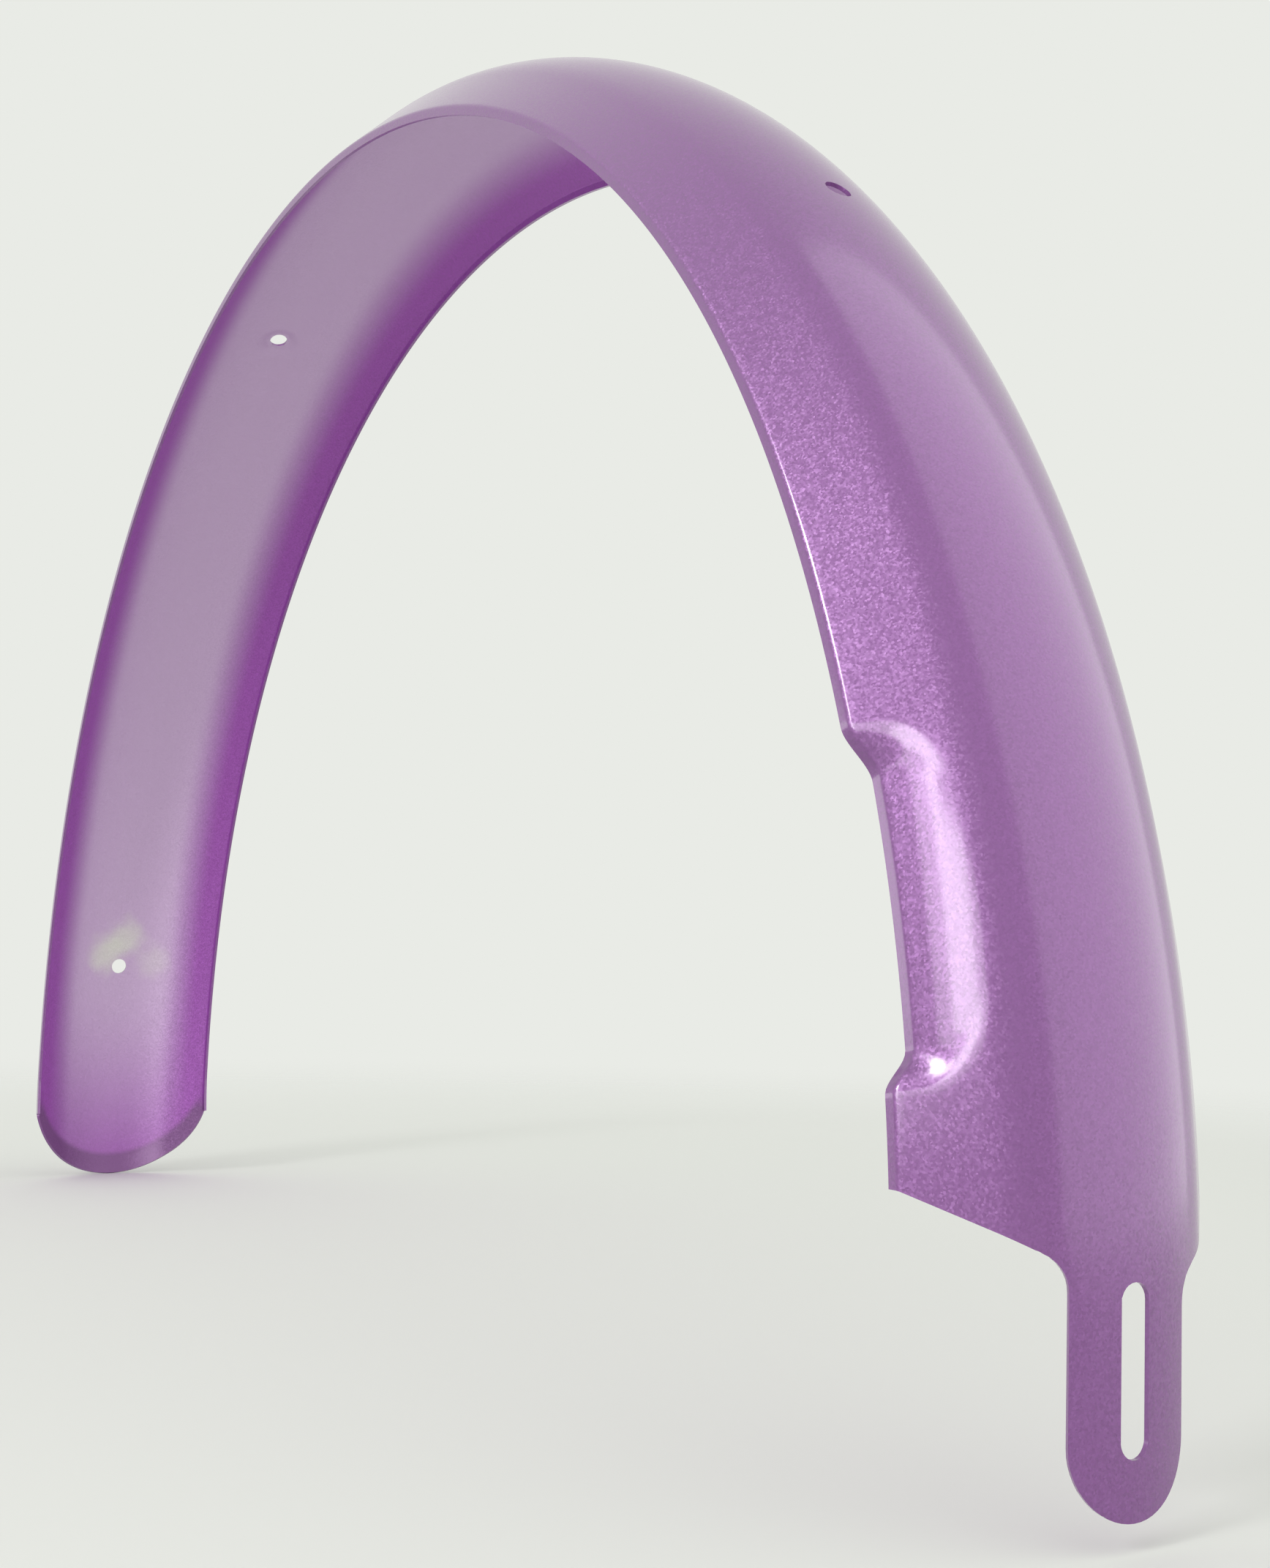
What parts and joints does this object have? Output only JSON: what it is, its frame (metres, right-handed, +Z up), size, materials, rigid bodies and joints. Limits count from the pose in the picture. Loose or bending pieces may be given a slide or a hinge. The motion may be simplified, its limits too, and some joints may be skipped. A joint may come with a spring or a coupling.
{
  "type": "bicycle mudguard",
  "caption": "Rear mudguard of a small-wheel bicycle: pressed steel arch with folded lips, a slotted tongue at the front, a chain recess in the right skirt and a rounded end with a turned-in rim",
  "frame": {"origin": "on the axle of the wheel that the mudguard covers, in the middle of its width", "axes": "+X points forwards along the bicycle, +Y to the bicycle's left along the axle, +Z up"},
  "size_m": [0.5382, 0.06, 0.3028],
  "materials": {
    "purple_paint": "metallic purple paint with fine flake under a glossy clear coat, pale lilac where it faces the light"
  },
  "bodies": {
    "root": {"mudguard": "purple_paint"}
  },
  "joints": []
}
